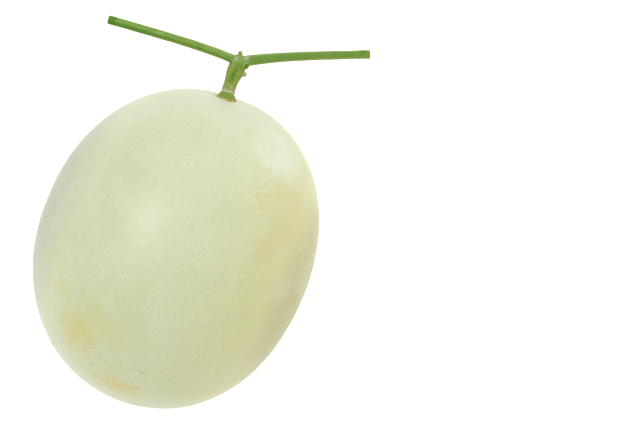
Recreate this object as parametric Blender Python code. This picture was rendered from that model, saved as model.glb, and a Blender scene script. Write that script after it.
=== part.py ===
"""A smooth-skinned melon lying on its side, with its stalk and the cut piece of vine it grew on.

Units are metres and radians, with +Z up. The origin is the middle of the flat ground spot that the
melon rests on. +X runs towards the stem end. +Y is on the left of someone who looks along +X.

The melon and its stem are shaped in the fruit's own frame: its origin is the middle of the fruit,
and its X axis is the line from the blossom end to the stem end. One empty carries that frame to
its place, with the stem end a little raised.
"""
import math

import bmesh
import bpy
from mathutils import Matrix, Vector

# Fruit
MELON_LENGTH = 0.1765                     # blossom end to stem end, before the basin sinks in
MELON_DIAMETER = 0.1485
MELON_FULLNESS = 2.12                     # outline exponent: 2 is an ellipse, more is fuller
AXIS_TILT = math.radians(6.0)             # how far the stem end is raised
GROUND_SPOT_DEPTH = 0.0012                # how much of the underside is pressed flat
BASIN_DEPTH = 0.0018                      # dip in the skin around the stalk
BASIN_RADIUS = 0.0090
SEAT_DEPTH = 0.0006                       # flat seat of the stalk, below the skin

# Stalk, from the fruit to the node of the vine
STALK_OFFSET = 0.0054                     # foot of the stalk, from the fruit's axis, towards +Y
STALK_FOOT_LEAN = math.radians(10.0)      # away from the fruit's axis, towards +Y
STALK_TOP_LEAN = math.radians(-4.0)
STALK_LENGTH = 0.0206                     # foot to the middle of the node
STALK_DIAMETER = 0.0072
STALK_TOP_DIAMETER = 0.0094               # where it has widened towards the node
STALK_WIDENS_FROM = 0.0075                # above the foot
STALK_WIDENS_UNTIL = 0.0160
COLLAR_DIAMETER = 0.0106                  # flared foot on the fruit
COLLAR_HEIGHT = 0.0030
FIT_GAP = 0.0003                          # left between the collar and its seat

# Vine: two arms that leave the node to the left (+Y) and to the right (-Y)
LEFT_ARM_LENGTH = 0.0752
LEFT_ARM_START_SWEEP = math.radians(1.3)  # plus is forward, away from the fruit
LEFT_ARM_END_SWEEP = math.radians(-7.3)
LEFT_ARM_RISE = math.radians(-3.0)
LEFT_ARM_DIAMETER = 0.0047
RIGHT_ARM_LENGTH = 0.0703
RIGHT_ARM_START_SWEEP = math.radians(32.4)
RIGHT_ARM_END_SWEEP = math.radians(24.3)
RIGHT_ARM_RISE = math.radians(2.0)
RIGHT_ARM_DIAMETER = 0.0046
RIGHT_ARM_ROOT_DIAMETER = 0.0060
SWEEP_SETTLE = 3                          # how soon an arm's sweep settles: more is sooner
RIDGE_COUNT = 5                           # low ridges along the stalk and the vine
RIDGE_HEIGHT = 0.05                       # share of the radius

# Node: the knot where the stalk, the two arms, a bud and the cut stubs meet
NODE_RADIUS_ALONG = 0.0038                # along the fruit's axis
NODE_RADIUS_ACROSS = 0.0054
NODE_RADIUS_UP = 0.0045
PETIOLE_STUB_DIAMETER = 0.0038            # cut leaf stalk
PETIOLE_STUB_REACH = 0.0057               # node middle to its cut face
PETIOLE_STUB_WAY = Vector((-0.07, -0.84, 0.54)).normalized()
TENDRIL_STUB_DIAMETER = 0.0024
TENDRIL_STUB_REACH = 0.0057
TENDRIL_STUB_WAY = Vector((-0.23, 0.84, 0.48)).normalized()
SIDE_STUB_DIAMETER = 0.0022               # small cut shoot, below the leaf stalk
SIDE_STUB_REACH = 0.0062                  # stalk's middle line to its end
SIDE_STUB_WAY = Vector((0.05, -0.96, 0.27)).normalized()
SIDE_STUB_SHARE = 0.73                    # how far up the stalk it stands
BUD_DIAMETER = 0.0026
BUD_REACH = 0.0060                        # node middle to the bud's tip
BUD_WAY = Vector((0.93, 0.34, 0.09)).normalized()
BUD_TIP_SHARE = 0.2                       # of its diameter
STUB_TIP_SHARE = 0.92

# Fineness of the surfaces
PROFILE_STEPS = 44
SPIN_STEPS = 60
TUBE_SIDES = 20
ARM_STEPS = 24
STALK_STEPS = 14
STUB_SIDES = 16
SEAT_SIDES = 30                           # no multiple of four, so its edges miss the fruit's seams
MERGE_DISTANCE = 1e-6


def skin_x(off_axis):
    """Where the skin of the stem half lies along the axis, at a distance off the axis."""
    share = off_axis / (MELON_DIAMETER / 2)
    return MELON_LENGTH / 2 * (1 - share ** MELON_FULLNESS) ** (1 / MELON_FULLNESS)


def basin_drop(y, z):
    """How far the skin has sunk around the stalk, at a place off the axis."""
    reach = math.hypot(y - STALK_OFFSET, z) / BASIN_RADIUS
    return BASIN_DEPTH * math.exp(-reach * reach)


def lowest_skin_point():
    """Where the tilted fruit touches a level surface, as (along the axis, below the axis)."""
    power = MELON_FULLNESS / (MELON_FULLNESS - 1)
    lift_along = MELON_LENGTH / 2 * math.sin(AXIS_TILT)
    lift_off = MELON_DIAMETER / 2 * math.cos(AXIS_TILT)
    height = (lift_along ** power + lift_off ** power) ** (1 / power)
    along = -MELON_LENGTH / 2 * (lift_along / height) ** (power - 1)
    below = MELON_DIAMETER / 2 * (lift_off / height) ** (power - 1)
    return along, below


def fruit_middle():
    """Middle of the fruit, with the ground spot's middle at the origin."""
    along, below = lowest_skin_point()
    contact_x = along * math.cos(AXIS_TILT) + below * math.sin(AXIS_TILT)
    contact_z = along * math.sin(AXIS_TILT) - below * math.cos(AXIS_TILT)
    return Vector((-contact_x, 0, -contact_z - GROUND_SPOT_DEPTH))


def stalk_heading(share):
    """Way the stalk runs at a share of its length."""
    lean = STALK_FOOT_LEAN + (STALK_TOP_LEAN - STALK_FOOT_LEAN) * share
    return Vector((math.cos(lean), math.sin(lean), 0))


def stalk_points():
    """Middle line of the stalk, from its foot in the seat to the middle of the node."""
    points = [SEAT_POINT + stalk_heading(0) * FIT_GAP]
    for step in range(STALK_STEPS):
        heading = stalk_heading((step + 0.5) / STALK_STEPS)
        points.append(points[-1] + heading * STALK_LENGTH / STALK_STEPS)
    return points


SKIN_POINT = Vector((skin_x(STALK_OFFSET) - BASIN_DEPTH, STALK_OFFSET, 0))
SEAT_POINT = SKIN_POINT - stalk_heading(0) * SEAT_DEPTH
NODE_MIDDLE = stalk_points()[-1]
UP = Vector((0, 0, 1))


def clear_scene():
    """Start from an empty scene."""
    for thing in list(bpy.data.objects):
        bpy.data.objects.remove(thing, do_unlink=True)


def make_material(name, colour, roughness):
    """Plain Principled material for one piece."""
    material = bpy.data.materials.new(name)
    material.use_nodes = True
    shader = material.node_tree.nodes["Principled BSDF"]
    shader.inputs["Base Color"].default_value = (*colour, 1)
    shader.inputs["Roughness"].default_value = roughness
    shader.inputs["Metallic"].default_value = 0.0
    return material


def make_object(name, bm, parent=None):
    """Close the bmesh into a smooth-shaded object of its own."""
    bmesh.ops.recalc_face_normals(bm, faces=bm.faces)
    mesh = bpy.data.meshes.new(name)
    bm.to_mesh(mesh)
    bm.free()
    mesh.shade_smooth()
    thing = bpy.data.objects.new(name, mesh)
    thing.parent = parent
    bpy.context.collection.objects.link(thing)
    return thing


def combine(target, tool, operation):
    """Cut the tool out of the target, or grow the two into one body."""
    tool.hide_render = True
    tool.display_type = "WIRE"
    boolean = target.modifiers.new(tool.name, "BOOLEAN")
    boolean.operation = operation
    boolean.solver = "EXACT"
    boolean.object = tool


def turned_to(direction, middle):
    """Matrix that stands a Z-up primitive along a direction, about a middle point."""
    return Matrix.Translation(middle) @ direction.to_track_quat("Z", "Y").to_matrix().to_4x4()


def make_fruit_frame():
    """Empty at the middle of the fruit, tilted so that the stem end is raised."""
    frame = bpy.data.objects.new("fruit_frame", None)
    frame.location = fruit_middle()
    frame.rotation_euler = (0, -AXIS_TILT, 0)
    bpy.context.collection.objects.link(frame)
    return frame


def melon_profile():
    """Half outline from the blossom end to the stem end, in the XZ plane."""
    points = []
    for step in range(PROFILE_STEPS + 1):
        angle = math.pi * step / PROFILE_STEPS
        power = 2 / MELON_FULLNESS
        along = -math.copysign(abs(math.cos(angle)) ** power, math.cos(angle))
        off_axis = abs(math.sin(angle)) ** power if 0 < step < PROFILE_STEPS else 0
        points.append(Vector((along * MELON_LENGTH / 2, 0, off_axis * MELON_DIAMETER / 2)))
    return points


def make_melon(frame):
    """The fruit: its outline spun about its axis, then sunk around the stalk."""
    bm = bmesh.new()
    outline = [bm.verts.new(point) for point in melon_profile()]
    edges = [bm.edges.new(pair) for pair in zip(outline, outline[1:])]
    bmesh.ops.spin(bm, geom=outline + edges, cent=(0, 0, 0), axis=(1, 0, 0),
                   angle=2 * math.pi, steps=SPIN_STEPS)
    bmesh.ops.remove_doubles(bm, verts=bm.verts, dist=MERGE_DISTANCE)
    for vert in bm.verts:
        if vert.co.x > 0:
            vert.co.x -= basin_drop(vert.co.y, vert.co.z)
    return make_object("melon", bm, frame)


def make_ground_cutter():
    """Block whose top is the level surface: it takes off the ground spot."""
    bm = bmesh.new()
    side = MELON_LENGTH
    bmesh.ops.create_cube(bm, size=side, matrix=Matrix.Translation((0, 0, -side / 2)))
    return make_object("ground_cutter", bm)


def make_seat_cutter(frame):
    """Cylinder that takes off the flat seat under the stalk's collar."""
    bm = bmesh.new()
    radius = COLLAR_DIAMETER / 2 + FIT_GAP
    height = COLLAR_DIAMETER
    middle = SEAT_POINT + stalk_heading(0) * height / 2
    bmesh.ops.create_cone(bm, cap_ends=True, segments=SEAT_SIDES, radius1=radius, radius2=radius,
                          depth=height, matrix=turned_to(stalk_heading(0), middle))
    return make_object("seat_cutter", bm, frame)


def arm_points(side, length, start_sweep, end_sweep, rise):
    """Middle line of one arm of the vine, from the node outwards."""
    points = [NODE_MIDDLE]
    for step in range(ARM_STEPS):
        left_over = (1 - (step + 0.5) / ARM_STEPS) ** SWEEP_SETTLE
        sweep = end_sweep + (start_sweep - end_sweep) * left_over
        heading = Vector((math.sin(sweep), side * math.cos(sweep), math.tan(rise))).normalized()
        points.append(points[-1] + heading * length / ARM_STEPS)
    return points


def ring(middle, along, radius):
    """Points of one ridged cross-section, square to the way the tube runs."""
    side = UP.cross(along).normalized()
    top = along.cross(side).normalized()
    points = []
    for step in range(TUBE_SIDES):
        angle = 2 * math.pi * step / TUBE_SIDES
        reach = radius * (1 + RIDGE_HEIGHT * math.cos(RIDGE_COUNT * angle))
        points.append(middle + side * reach * math.cos(angle) + top * reach * math.sin(angle))
    return points


def sweep_tube(middles, radii):
    """Ridged tube with flat ends: a first ring's face, extruded from place to place."""
    bm = bmesh.new()
    last = len(middles) - 1
    first_ring = None
    for index, (middle, radius) in enumerate(zip(middles, radii)):
        along = (middles[min(index + 1, last)] - middles[max(index - 1, 0)]).normalized()
        if first_ring is None:
            first_ring = [bm.verts.new(point) for point in ring(middle, along, radius)]
            face = bm.faces.new(first_ring)
            continue
        face = bmesh.ops.extrude_discrete_faces(bm, faces=[face])["faces"][0]
        for vert, point in zip(face.verts, ring(middle, along, radius)):
            vert.co = point
    bmesh.ops.holes_fill(bm, edges=[edge for edge in bm.edges if edge.is_boundary])
    return bm


def make_vine(frame):
    """The cut piece of vine, one tube from the left end through the node to the right end."""
    left = arm_points(1, LEFT_ARM_LENGTH, LEFT_ARM_START_SWEEP, LEFT_ARM_END_SWEEP, LEFT_ARM_RISE)
    right = arm_points(-1, RIGHT_ARM_LENGTH, RIGHT_ARM_START_SWEEP, RIGHT_ARM_END_SWEEP,
                       RIGHT_ARM_RISE)
    left_radii = [LEFT_ARM_DIAMETER / 2] * ARM_STEPS
    right_radii = []
    for step in range(ARM_STEPS + 1):
        left_over = (1 - step / ARM_STEPS) ** SWEEP_SETTLE
        swell = (RIGHT_ARM_ROOT_DIAMETER - RIGHT_ARM_DIAMETER) * left_over
        right_radii.append((RIGHT_ARM_DIAMETER + swell) / 2)
    return make_object("stem", sweep_tube(left[:0:-1] + right, left_radii + right_radii), frame)


def make_stalk(frame):
    """The fruit's stalk: flared at the collar, round at the middle, widening into the node."""
    radii = []
    for step in range(STALK_STEPS + 1):
        height = STALK_LENGTH * step / STALK_STEPS
        flare = math.exp(-(height / COLLAR_HEIGHT) ** 2)
        share = (height - STALK_WIDENS_FROM) / (STALK_WIDENS_UNTIL - STALK_WIDENS_FROM)
        share = min(max(share, 0), 1)
        widening = share * share * (3 - 2 * share)
        diameter = STALK_DIAMETER + (STALK_TOP_DIAMETER - STALK_DIAMETER) * widening
        diameter += (COLLAR_DIAMETER - STALK_DIAMETER) * flare
        radii.append(diameter / 2 / (1 + RIDGE_HEIGHT))
    return make_object("stalk_tool", sweep_tube(stalk_points(), radii), frame)


def make_node(frame):
    """The knot in the vine: a flattened ball."""
    bm = bmesh.new()
    size = Matrix.Diagonal((NODE_RADIUS_ALONG, NODE_RADIUS_ACROSS, NODE_RADIUS_UP, 1))
    bmesh.ops.create_uvsphere(bm, u_segments=STUB_SIDES, v_segments=STUB_SIDES // 2, radius=1,
                              matrix=Matrix.Translation(NODE_MIDDLE) @ size)
    return make_object("node_tool", bm, frame)


def make_stub(name, root, direction, reach, diameter, frame, tip_share=STUB_TIP_SHARE):
    """Short round stub from a root inside the stem to its cut end, a little narrower there."""
    bm = bmesh.new()
    bmesh.ops.create_cone(bm, cap_ends=True, segments=STUB_SIDES, radius1=diameter / 2,
                          radius2=diameter / 2 * tip_share, depth=reach,
                          matrix=turned_to(direction, root + direction * reach / 2))
    return make_object(name, bm, frame)


def make_stem(frame):
    """The stem: vine, stalk, node, cut stubs and bud, grown as one body."""
    stem = make_vine(frame)
    side_root = stalk_points()[round(SIDE_STUB_SHARE * STALK_STEPS)]
    tools = [
        make_stalk(frame),
        make_node(frame),
        make_stub("petiole_tool", NODE_MIDDLE, PETIOLE_STUB_WAY, PETIOLE_STUB_REACH,
                  PETIOLE_STUB_DIAMETER, frame),
        make_stub("tendril_tool", NODE_MIDDLE, TENDRIL_STUB_WAY, TENDRIL_STUB_REACH,
                  TENDRIL_STUB_DIAMETER, frame),
        make_stub("side_tool", side_root, SIDE_STUB_WAY, SIDE_STUB_REACH, SIDE_STUB_DIAMETER, frame),
        make_stub("bud_tool", NODE_MIDDLE, BUD_WAY, BUD_REACH, BUD_DIAMETER, frame, BUD_TIP_SHARE),
    ]
    for tool in tools:
        combine(stem, tool, "UNION")
    return stem


def main():
    clear_scene()
    frame = make_fruit_frame()

    melon = make_melon(frame)
    combine(melon, make_ground_cutter(), "DIFFERENCE")
    combine(melon, make_seat_cutter(frame), "DIFFERENCE")
    melon.data.materials.append(make_material("pale_rind", (0.66, 0.70, 0.45), 0.5))

    stem = make_stem(frame)
    stem.data.materials.append(make_material("green_stem", (0.17, 0.31, 0.06), 0.6))


main()
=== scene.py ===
# %% [markdown]
# # A whole smooth melon with its stem
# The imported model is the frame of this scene: it says how big the melon is and where it lies. The
# finished skin and stem below are built round it in metres, in the same place, so nothing has to be
# fitted by eye afterwards.

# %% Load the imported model
import math

import bmesh
import bpy
import numpy as np
from mathutils import Matrix, Vector, noise


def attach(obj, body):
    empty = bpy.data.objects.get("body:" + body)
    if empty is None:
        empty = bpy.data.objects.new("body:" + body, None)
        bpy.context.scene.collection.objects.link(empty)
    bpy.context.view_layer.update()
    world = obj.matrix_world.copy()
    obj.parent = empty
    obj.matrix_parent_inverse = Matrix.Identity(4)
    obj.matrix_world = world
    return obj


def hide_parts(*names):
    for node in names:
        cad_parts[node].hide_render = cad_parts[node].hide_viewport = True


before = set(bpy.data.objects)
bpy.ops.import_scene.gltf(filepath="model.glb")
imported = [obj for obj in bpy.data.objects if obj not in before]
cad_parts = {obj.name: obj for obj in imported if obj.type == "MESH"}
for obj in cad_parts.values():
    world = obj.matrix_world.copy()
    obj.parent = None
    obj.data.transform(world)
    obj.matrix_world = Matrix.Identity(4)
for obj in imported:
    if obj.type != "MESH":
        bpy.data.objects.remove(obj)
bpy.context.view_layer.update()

# %% [markdown]
# ## The fruit's own frame
# The melon lies a little nose-down: its stem end is raised. It is easiest to shape a fruit along its
# own axis and to tip it once at the end, so this cell works out where the middle of the fruit hangs
# above the floor. The X axis runs to the stem end, Z is up, and +Y is the left side.

# %% Sizes of the fruit and its own frame
MM = 0.001
MELON_LENGTH = 176.5 * MM
MELON_DIAMETER = 148.5 * MM
MELON_FULLNESS = 2.12                       # 2 is an ellipse, more is fuller
AXIS_TILT = math.radians(6.0)
GROUND_SPOT_DEPTH = 1.2 * MM


def fruit_middle():
    """Middle of the fruit when its ground spot lies on the floor at the origin."""
    power = MELON_FULLNESS / (MELON_FULLNESS - 1)
    lift_along = MELON_LENGTH / 2 * math.sin(AXIS_TILT)
    lift_off = MELON_DIAMETER / 2 * math.cos(AXIS_TILT)
    height = (lift_along ** power + lift_off ** power) ** (1 / power)
    along = -MELON_LENGTH / 2 * (lift_along / height) ** (power - 1)
    below = MELON_DIAMETER / 2 * (lift_off / height) ** (power - 1)
    contact_x = along * math.cos(AXIS_TILT) + below * math.sin(AXIS_TILT)
    contact_z = along * math.sin(AXIS_TILT) - below * math.cos(AXIS_TILT)
    return Vector((-contact_x, 0, -contact_z - GROUND_SPOT_DEPTH))


MIDDLE = fruit_middle()
FRUIT_TURN = (0, -AXIS_TILT, 0)
FRUIT_TO_FLOOR = Matrix.Translation(MIDDLE) @ Matrix.Rotation(-AXIS_TILT, 4, "Y")
print("middle of the fruit, mm:", [round(value / MM, 2) for value in MIDDLE])

# %% [markdown]
# ## Camera
# The melon is seen from straight above, with its stem end up and a little to the right. A long lens
# keeps the outline from swelling.

# %% Camera
VIEW_TURN = math.radians(-67.0)             # turns the stem end to the top of the picture
VIEW_RIGHT = Vector((math.cos(VIEW_TURN), math.sin(VIEW_TURN), 0))
VIEW_UP = Vector((-math.sin(VIEW_TURN), math.cos(VIEW_TURN), 0))
CAMERA_RIGHT = 78.5 * MM                    # the fruit sits left of the middle of the view
CAMERA_UP = 18.75 * MM                      # and a little below it
CAMERA_HEIGHT = 0.9                         # above the middle of the fruit
LENS_LENGTH = 92.9                          # on a sensor 36 mm wide

lens = bpy.data.cameras.new("camera")
lens.sensor_width = 36
lens.lens = LENS_LENGTH
lens.clip_start = 0.01
camera = bpy.data.objects.new("camera", lens)
camera.location = (MIDDLE + VIEW_RIGHT * CAMERA_RIGHT + VIEW_UP * CAMERA_UP
                   + Vector((0, 0, CAMERA_HEIGHT)))
camera.rotation_euler = (0, 0, VIEW_TURN)
bpy.context.scene.collection.objects.link(camera)
bpy.context.scene.camera = camera
bpy.context.scene.view_settings.view_transform = "Standard"
bpy.context.scene.view_settings.look = "None"
print("camera at, mm:", [round(value / MM, 1) for value in camera.location])

# %% [markdown]
# ## Floor and light
# The light is a white tent: an even white sky, a soft lamp from the left for the satin gleam, a very
# wide one to fill from the right, and one low down at the upper right for the bright far shoulder.
# The floor glows a little, like a light table, so the pale skin stands on clean white. Each colour
# is written as it should look, and `paint` takes the strength of the light off it.

# %% Floor and lamps
LIGHT_LEVEL = 1.22                          # what a white sheet on the floor gives back
SKY_STRENGTH = 0.72
FLOOR_RADIUS = 12.0
FLOOR_WHITE = (0.86, 0.86, 0.86, 1)
FLOOR_GLOW = 0.38
PURE_WHITE = (1, 1, 1, 1)


def linear(channel):
    """One screen colour channel, 0 to 1, as the amount of light it stands for."""
    return channel / 12.92 if channel <= 0.04045 else ((channel + 0.055) / 1.055) ** 2.4


def paint(code):
    """Colour of a surface that looks like this screen colour under the lamps."""
    channels = [int(code[start:start + 2], 16) / 255 for start in (1, 3, 5)]
    return (*[linear(channel) / LIGHT_LEVEL for channel in channels], 1.0)


def soft_lamp(name, way, distance, size, watts):
    """A square soft lamp that looks back at the fruit from one way."""
    lamp = bpy.data.lights.new(name, "AREA")
    lamp.size = size
    lamp.energy = watts
    thing = bpy.data.objects.new(name, lamp)
    thing.location = MIDDLE + way.normalized() * distance
    thing.rotation_euler = way.to_track_quat("Z", "Y").to_euler()
    bpy.context.scene.collection.objects.link(thing)


def upward(right, up, lift):
    """A way given as shares to the right, to the top of the picture, and straight up."""
    return VIEW_RIGHT * right + VIEW_UP * up + Vector((0, 0, lift))


sky = bpy.data.worlds.new("white_tent")
sky.use_nodes = True
sky.node_tree.nodes["Background"].inputs["Color"].default_value = PURE_WHITE
sky.node_tree.nodes["Background"].inputs["Strength"].default_value = SKY_STRENGTH
bpy.context.scene.world = sky
soft_lamp("key_lamp", upward(-0.37, 0.21, 0.90), distance=1.3, size=0.30, watts=5.4)
soft_lamp("fill_lamp", upward(0.50, -0.40, 0.77), distance=1.4, size=1.4, watts=1.9)
soft_lamp("far_lamp", upward(0.80, 0.62, 0.30), distance=1.2, size=0.8, watts=3.4)

floor_mesh = bpy.data.meshes.new("floor")
disc = bmesh.new()
bmesh.ops.create_circle(disc, cap_ends=True, segments=96, radius=FLOOR_RADIUS)
disc.to_mesh(floor_mesh)
disc.free()
floor = bpy.data.objects.new("floor", floor_mesh)
bpy.context.scene.collection.objects.link(floor)
floor_paint = bpy.data.materials.new("floor_white")
floor_paint.use_nodes = True
floor_shader = floor_paint.node_tree.nodes["Principled BSDF"]
floor_shader.inputs["Base Color"].default_value = FLOOR_WHITE
floor_shader.inputs["Roughness"].default_value = 0.9
floor_shader.inputs["Specular IOR Level"].default_value = 0.0
floor_shader.inputs["Emission Color"].default_value = PURE_WHITE
floor_shader.inputs["Emission Strength"].default_value = FLOOR_GLOW
floor_mesh.materials.append(floor_paint)

# %% [markdown]
# ## Writing sums as node trees
# Geometry Nodes and shader nodes both work on values that flow from socket to socket. A sum of ten
# terms is ten Math nodes, which is hard to read as code, so a small class stands for a value on its
# way through a tree: adding or multiplying it puts the Math node in for us.

# %% Helpers for node trees
class Flow:
    """A value on its way through a node tree."""

    def __init__(self, tree, socket):
        self.tree = tree
        self.socket = socket

    def __add__(self, other):
        return calc(self.tree, "ADD", self, other)

    def __sub__(self, other):
        return calc(self.tree, "SUBTRACT", self, other)

    def __rsub__(self, other):
        return calc(self.tree, "SUBTRACT", other, self)

    def __mul__(self, other):
        return calc(self.tree, "MULTIPLY", self, other)

    def __truediv__(self, other):
        return calc(self.tree, "DIVIDE", self, other)

    def __rtruediv__(self, other):
        return calc(self.tree, "DIVIDE", other, self)

    def __pow__(self, other):
        return calc(self.tree, "POWER", self, other)

    __radd__ = __add__


def put(tree, kind, inputs=None, **settings):
    """Add a node, choose its settings, and fill or connect its inputs."""
    node = tree.nodes.new(kind)
    for name, value in settings.items():
        setattr(node, name, value)
    for name, value in (inputs or {}).items():
        if isinstance(value, Flow):
            tree.links.new(value.socket, node.inputs[name])
        else:
            node.inputs[name].default_value = value
    return node


def flow(tree, kind, inputs=None, output=0, **settings):
    """Add a node and go on with one of its outputs."""
    return Flow(tree, put(tree, kind, inputs, **settings).outputs[output])


def calc(tree, operation, *terms):
    """One Math node."""
    return flow(tree, "ShaderNodeMath", dict(enumerate(terms)), operation=operation)


def step_up(value, low, high):
    """0 below low, 1 above high, and a smooth rise between; low may be the greater."""
    return flow(value.tree, "ShaderNodeMapRange",
                {"Value": value, "From Min": low, "From Max": high}, interpolation_type="SMOOTHSTEP")


def split(vector):
    """The three numbers of a vector."""
    node = put(vector.tree, "ShaderNodeSeparateXYZ", {0: vector})
    return [Flow(vector.tree, socket) for socket in node.outputs]


def join(tree, x, y, z):
    """A vector from three numbers."""
    return flow(tree, "ShaderNodeCombineXYZ", {0: x, 1: y, 2: z})


def clouds(place, size, detail=3.0, roughness=0.5, seed=0.0):
    """Smooth random value round 0.5, with lumps of about the given size."""
    moved = flow(place.tree, "ShaderNodeVectorMath", {0: place, 1: (seed, seed, seed)}, operation="ADD")
    return flow(place.tree, "ShaderNodeTexNoise",
                {"Vector": moved, "Scale": 1 / size, "Detail": detail, "Roughness": roughness})


def new_tree(name, kind, given, put_out):
    """A node tree or group with named inputs and outputs, and its input values as flows."""
    tree = bpy.data.node_groups.new(name, kind)
    for label, (socket_type, value) in given.items():
        socket = tree.interface.new_socket(label, in_out="INPUT", socket_type=socket_type)
        if value is not None:
            socket.default_value = value
    for label, socket_type in put_out.items():
        tree.interface.new_socket(label, in_out="OUTPUT", socket_type=socket_type)
    entry = tree.nodes.new("NodeGroupInput")
    return tree, {label: Flow(tree, entry.outputs[label]) for label in given}


FLOAT, VECTOR, INT = "NodeSocketFloat", "NodeSocketVector", "NodeSocketInt"
GEOMETRY, MATERIAL = "NodeSocketGeometry", "NodeSocketMaterial"

# %% [markdown]
# ## From a tree to a plain piece
# A Geometry Nodes tree works as a modifier. The finished piece has to be a plain mesh, so the tree is
# run once on a carrier object, its result is copied out, and the modifier goes.

# %% Grow a mesh with a tree
def place_object(name, mesh):
    """An object at the origin that shows this mesh."""
    thing = bpy.data.objects.new(name, mesh)
    bpy.context.scene.collection.objects.link(thing)
    return thing


def applied(thing):
    """Replace the object's mesh with what its modifiers make of it, and remove them."""
    graph = bpy.context.evaluated_depsgraph_get()
    mesh = bpy.data.meshes.new_from_object(thing.evaluated_get(graph))
    thing.modifiers.clear()
    thing.data = mesh
    mesh.name = thing.name
    return thing


def grow(tree, name, base=None, **values):
    """A plain mesh object from a Geometry Nodes tree and values for its named inputs."""
    thing = place_object(name, base or bpy.data.meshes.new(name))
    modifier = thing.modifiers.new("grow", "NODES")
    modifier.node_group = tree
    for item in tree.interface.items_tree:
        label = item.name.replace(" ", "_").lower()
        if item.item_type == "SOCKET" and item.in_out == "INPUT" and label in values:
            modifier[item.identifier] = values[label]
    return applied(thing)


def report(thing):
    """Say how big a finished piece is, and how many triangles it has."""
    thing.data.calc_loop_triangles()
    size = [round(value / MM, 1) for value in thing.dimensions]
    print(f"{thing.name}: {len(thing.data.loop_triangles)} triangles, {size} mm")


def held(tree, name, kind="FLOAT"):
    """Value that the points of a mesh or of a line hold under this name."""
    return flow(tree, "GeometryNodeInputNamedAttribute", {"Name": name}, output="Attribute",
                data_type=kind)


def roughened(tree, geometry, size, height):
    """Push each point out or in along its normal, by a smooth random amount up to the height."""
    lumps = flow(tree, "ShaderNodeTexNoise", {"Vector": flow(tree, "GeometryNodeInputPosition"),
                                              "Scale": 1 / size, "Detail": 2.0})
    push = flow(tree, "ShaderNodeVectorMath", {0: flow(tree, "GeometryNodeInputNormal"),
                                               "Scale": (lumps - 0.5) * 2 * height},
                operation="SCALE")
    return flow(tree, "GeometryNodeSetPosition", {"Geometry": geometry, "Offset": push})


def end_tree(tree, geometry, material):
    """Close a geometry tree: real geometry, smooth shading and one material."""
    real = flow(tree, "GeometryNodeRealizeInstances", {0: geometry})
    smooth = flow(tree, "GeometryNodeSetShadeSmooth", {0: real})
    dressed = flow(tree, "GeometryNodeSetMaterial", {"Geometry": smooth, "Material": material})
    put(tree, "NodeGroupOutput", {0: dressed})

# %% [markdown]
# ## Effects that several finishes share
# Skin, stem and cork are all plant skin, so some effects come back in each: a fine grain that breaks
# the gleam, soft-edged stains, and small corky flecks. Each is one shader group with named inputs,
# and each finish places it with its own values.

# %% Shared shader groups
SHADER = "ShaderNodeTree"


def make_grain():
    """Fine skin grain: a height for the bump and a light and dark shade."""
    tree, given = new_tree("fine_grain", SHADER,
                           {"Place": (VECTOR, None), "Size": (FLOAT, 1.0), "Seed": (FLOAT, 0.0)},
                           {"Height": FLOAT, "Shade": FLOAT})
    scaled = flow(tree, "ShaderNodeVectorMath",
                  {0: given["Place"], "Scale": 1 / given["Size"]}, operation="SCALE")
    moved = flow(tree, "ShaderNodeVectorMath",
                 {0: scaled, 1: join(tree, given["Seed"], given["Seed"], given["Seed"])},
                 operation="ADD")
    fine = flow(tree, "ShaderNodeTexNoise",
                {"Vector": moved, "Scale": 1.0, "Detail": 4.0, "Roughness": 0.6})
    cells = flow(tree, "ShaderNodeTexVoronoi", {"Vector": moved, "Scale": 0.7},
                 feature="SMOOTH_F1")
    height = fine * 0.6 + cells * 0.4
    put(tree, "NodeGroupOutput", {"Height": height, "Shade": step_up(fine, 0.3, 0.7)})
    return tree


def make_patch():
    """A soft stain round one place, with a wandering edge."""
    tree, given = new_tree("soft_patch", SHADER,
                           {"Place": (VECTOR, None), "Centre": (VECTOR, None),
                            "Stretch": (VECTOR, (1, 1, 1)), "Reach": (FLOAT, 10.0),
                            "Wander": (FLOAT, 0.5)},
                           {"Mask": FLOAT})
    offset = flow(tree, "ShaderNodeVectorMath", {0: given["Place"], 1: given["Centre"]},
                  operation="SUBTRACT")
    shaped = flow(tree, "ShaderNodeVectorMath", {0: offset, 1: given["Stretch"]},
                  operation="DIVIDE")
    length = flow(tree, "ShaderNodeVectorMath", {0: shaped}, output=1, operation="LENGTH")
    share = length / given["Reach"]
    lumps = flow(tree, "ShaderNodeTexNoise",
                 {"Vector": given["Place"], "Scale": 2.2 / given["Reach"], "Detail": 3.0})
    wandering = share + (lumps - 0.5) * given["Wander"] * 2
    put(tree, "NodeGroupOutput", {"Mask": step_up(wandering, 1.0, 0.25)})
    return tree


def make_flecks():
    """Scattered small flecks: only a share of the cells holds one, and each has its own size."""
    tree, given = new_tree("corky_fleck", SHADER,
                           {"Place": (VECTOR, None), "Spacing": (FLOAT, 4.0),
                            "Size": (FLOAT, 0.2), "Share": (FLOAT, 0.3)},
                           {"Mask": FLOAT})
    scaled = flow(tree, "ShaderNodeVectorMath",
                  {0: given["Place"], "Scale": 1 / given["Spacing"]}, operation="SCALE")
    cell = put(tree, "ShaderNodeTexVoronoi", {"Vector": scaled, "Scale": 1.0})
    pick = split(Flow(tree, cell.outputs["Color"]))
    reach = given["Size"] * (pick[1] * 0.7 + 0.5)
    edge = flow(tree, "ShaderNodeTexNoise", {"Vector": scaled, "Scale": 7.0, "Detail": 2.0})
    share = Flow(tree, cell.outputs["Distance"]) / reach + (edge - 0.5) * 0.9
    held = calc(tree, "LESS_THAN", pick[0], given["Share"])
    put(tree, "NodeGroupOutput", {"Mask": step_up(share, 1.15, 0.55) * held})
    return tree


GRAIN, PATCH, FLECKS = make_grain(), make_patch(), make_flecks()


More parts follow.
